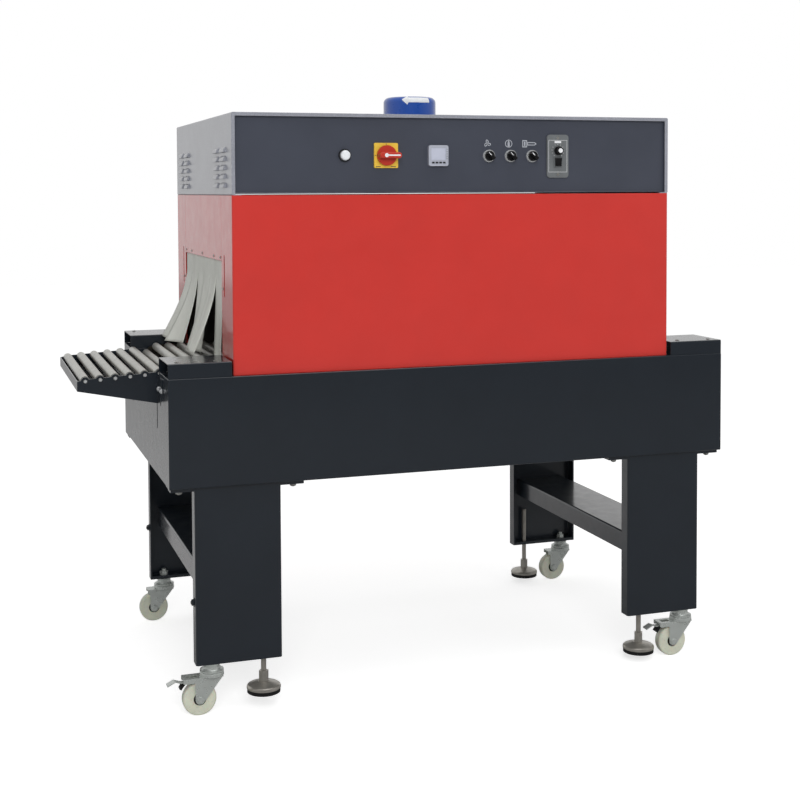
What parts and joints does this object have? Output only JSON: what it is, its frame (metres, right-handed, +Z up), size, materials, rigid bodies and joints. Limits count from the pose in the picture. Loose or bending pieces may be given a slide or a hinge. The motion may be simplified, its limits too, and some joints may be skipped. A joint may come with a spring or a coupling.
{
  "type": "heat shrink tunnel machine",
  "caption": "Floor-standing heat shrink tunnel with a red heated chamber, dark control hood, chain roller conveyor, infeed roller tray, strip curtains, casters and levelling feet.",
  "frame": {"origin": "on the floor under the centre of the outline, infeed tray included", "axes": "+X along the conveyor from infeed to outfeed, -Y towards the operator, +Z up"},
  "size_m": [1.552, 0.7825, 1.4],
  "materials": {
    "slate_paint": "satin",
    "red_paint": "satin",
    "blue_paint": "satin",
    "nylon": "satin",
    "zinc": "satin",
    "curtain": "matte",
    "roller_steel": "satin",
    "dark_steel": "satin",
    "lamp_lens": "gloss",
    "yellow_plastic": "gloss",
    "red_plastic": "gloss",
    "grey_plastic": "satin",
    "chrome": "polished",
    "black_plastic": "satin",
    "brushed_plate": "brushed"
  },
  "bodies": {
    "machine": {"bed_back_side": "slate_paint", "bed_ends": "slate_paint", "bed_front_side": "slate_paint", "caster_stems": "zinc", "chamber_back_wall": "red_paint", "chamber_front_wall": "red_paint", "control_panel": "slate_paint", "conveyor_chains": "dark_steel", "conveyor_rollers": "roller_steel", "conveyor_shafts": "dark_steel", "curtain_left": "curtain", "curtain_right": "curtain", "fan_motor_cowl": "blue_paint", "hood_back_panel": "slate_paint", "hood_shell": "slate_paint", "leg_back_left": "slate_paint", "leg_back_right": "slate_paint", "leg_braces": "slate_paint", "leg_front_left": "slate_paint", "leg_front_right": "slate_paint", "main_switch_plate": "yellow_plastic", "pilot_lamp": "lamp_lens", "rail_covers_left": "slate_paint", "rail_covers_right": "slate_paint", "selector_bezels": "chrome", "speed_controller_plate": "brushed_plate", "temperature_controller": "grey_plastic", "tray_frame": "slate_paint", "tunnel_headers": "red_paint", "tunnel_liner": "dark_steel"},
    "caster_fork_front_left": {"caster_fork_front_left": "zinc"},
    "caster_wheel_front_left": {"caster_wheel_front_left": "nylon"},
    "brake_lever_left": {"brake_lever_left": "zinc"},
    "caster_fork_front_right": {"caster_fork_front_right": "zinc"},
    "caster_wheel_front_right": {"caster_wheel_front_right": "nylon"},
    "brake_lever_right": {"brake_lever_right": "zinc"},
    "caster_fork_back_left": {"caster_fork_back_left": "zinc"},
    "caster_wheel_back_left": {"caster_wheel_back_left": "nylon"},
    "caster_fork_back_right": {"caster_fork_back_right": "zinc"},
    "caster_wheel_back_right": {"caster_wheel_back_right": "nylon"},
    "levelling_foot_front_left": {"levelling_foot_front_left": "zinc"},
    "levelling_foot_front_right": {"levelling_foot_front_right": "zinc"},
    "levelling_foot_back_left": {"levelling_foot_back_left": "zinc"},
    "levelling_foot_back_right": {"levelling_foot_back_right": "zinc"},
    "tray_roller_1": {"tray_roller_1": "roller_steel"},
    "tray_roller_2": {"tray_roller_2": "roller_steel"},
    "tray_roller_3": {"tray_roller_3": "roller_steel"},
    "tray_roller_4": {"tray_roller_4": "roller_steel"},
    "tray_roller_5": {"tray_roller_5": "roller_steel"},
    "tray_roller_6": {"tray_roller_6": "roller_steel"},
    "main_switch_handle": {"main_switch_handle": "red_plastic"},
    "selector_knob_1": {"selector_knob_1": "black_plastic"},
    "selector_knob_2": {"selector_knob_2": "black_plastic"},
    "selector_knob_3": {"selector_knob_3": "black_plastic"},
    "speed_knob": {"speed_knob": "black_plastic"},
    "rocker_switch": {"rocker_switch": "black_plastic"}
  },
  "joints": [
    {"name": "caster_swivel_front_left", "type": "hinge", "parent": "machine", "child": "caster_fork_front_left", "pos_m": [-0.502, -0.351, 0.1], "axis": [0, 0, 1], "continuous": true},
    {"name": "caster_roll_front_left", "type": "hinge", "parent": "caster_fork_front_left", "child": "caster_wheel_front_left", "pos_m": [-0.531, -0.351, 0.0375], "axis": [0, 1, 0], "continuous": true},
    {"name": "caster_swivel_front_right", "type": "hinge", "parent": "machine", "child": "caster_fork_front_right", "pos_m": [0.682, -0.351, 0.1], "axis": [0, 0, 1], "continuous": true},
    {"name": "caster_roll_front_right", "type": "hinge", "parent": "caster_fork_front_right", "child": "caster_wheel_front_right", "pos_m": [0.653, -0.351, 0.0375], "axis": [0, 1, 0], "continuous": true},
    {"name": "caster_swivel_back_left", "type": "hinge", "parent": "machine", "child": "caster_fork_back_left", "pos_m": [-0.502, 0.351, 0.1], "axis": [0, 0, 1], "continuous": true},
    {"name": "caster_roll_back_left", "type": "hinge", "parent": "caster_fork_back_left", "child": "caster_wheel_back_left", "pos_m": [-0.531, 0.351, 0.0375], "axis": [0, 1, 0], "continuous": true},
    {"name": "caster_swivel_back_right", "type": "hinge", "parent": "machine", "child": "caster_fork_back_right", "pos_m": [0.682, 0.351, 0.1], "axis": [0, 0, 1], "continuous": true},
    {"name": "caster_roll_back_right", "type": "hinge", "parent": "caster_fork_back_right", "child": "caster_wheel_back_right", "pos_m": [0.653, 0.351, 0.0375], "axis": [0, 1, 0], "continuous": true},
    {"name": "brake_press_left", "type": "hinge", "parent": "caster_fork_front_left", "child": "brake_lever_left", "pos_m": [-0.558, -0.351, 0.077], "axis": [0, -1, 0], "range_deg": [0, 8]},
    {"name": "brake_press_right", "type": "hinge", "parent": "caster_fork_front_right", "child": "brake_lever_right", "pos_m": [0.626, -0.351, 0.077], "axis": [0, -1, 0], "range_deg": [0, 8]},
    {"name": "foot_screw_front_left", "type": "slide", "parent": "machine", "child": "levelling_foot_front_left", "axis": [0, 0, -1], "range_m": [-0.015, 0.042]},
    {"name": "foot_screw_front_right", "type": "slide", "parent": "machine", "child": "levelling_foot_front_right", "axis": [0, 0, -1], "range_m": [-0.03, 0.026]},
    {"name": "foot_screw_back_left", "type": "slide", "parent": "machine", "child": "levelling_foot_back_left", "axis": [0, 0, -1], "range_m": [-0.015, 0.042]},
    {"name": "foot_screw_back_right", "type": "slide", "parent": "machine", "child": "levelling_foot_back_right", "axis": [0, 0, -1], "range_m": [-0.03, 0.026]},
    {"name": "tray_roller_spin_1", "type": "hinge", "parent": "machine", "child": "tray_roller_1", "pos_m": [-0.758, 0, 0.74], "axis": [0, 1, 0], "continuous": true},
    {"name": "tray_roller_spin_2", "type": "hinge", "parent": "machine", "child": "tray_roller_2", "pos_m": [-0.725, 0, 0.742], "axis": [0, 1, 0], "continuous": true},
    {"name": "tray_roller_spin_3", "type": "hinge", "parent": "machine", "child": "tray_roller_3", "pos_m": [-0.692, 0, 0.744], "axis": [0, 1, 0], "continuous": true},
    {"name": "tray_roller_spin_4", "type": "hinge", "parent": "machine", "child": "tray_roller_4", "pos_m": [-0.659, 0, 0.746], "axis": [0, 1, 0], "continuous": true},
    {"name": "tray_roller_spin_5", "type": "hinge", "parent": "machine", "child": "tray_roller_5", "pos_m": [-0.626, 0, 0.748], "axis": [0, 1, 0], "continuous": true},
    {"name": "tray_roller_spin_6", "type": "hinge", "parent": "machine", "child": "tray_roller_6", "pos_m": [-0.593, 0, 0.75], "axis": [0, 1, 0], "continuous": true},
    {"name": "main_switch_turn", "type": "hinge", "parent": "machine", "child": "main_switch_handle", "pos_m": [-0.092, -0.372, 1.242], "axis": [0, -1, 0], "range_deg": [0, 90]},
    {"name": "selector_turn_1", "type": "hinge", "parent": "machine", "child": "selector_knob_1", "pos_m": [0.161, -0.372, 1.242], "axis": [0, 1, 0], "range_deg": [0, 90]},
    {"name": "selector_turn_2", "type": "hinge", "parent": "machine", "child": "selector_knob_2", "pos_m": [0.216, -0.372, 1.242], "axis": [0, 1, 0], "range_deg": [0, 90]},
    {"name": "selector_turn_3", "type": "hinge", "parent": "machine", "child": "selector_knob_3", "pos_m": [0.271, -0.372, 1.242], "axis": [0, 1, 0], "range_deg": [0, 90]},
    {"name": "speed_knob_turn", "type": "hinge", "parent": "machine", "child": "speed_knob", "pos_m": [0.337, -0.372, 1.255], "axis": [0, 1, 0], "range_deg": [-140, 140]},
    {"name": "rocker_tip", "type": "hinge", "parent": "machine", "child": "rocker_switch", "pos_m": [0.337, -0.3682, 1.228], "axis": [-1, 0, 0], "range_deg": [0, 10]}
  ]
}
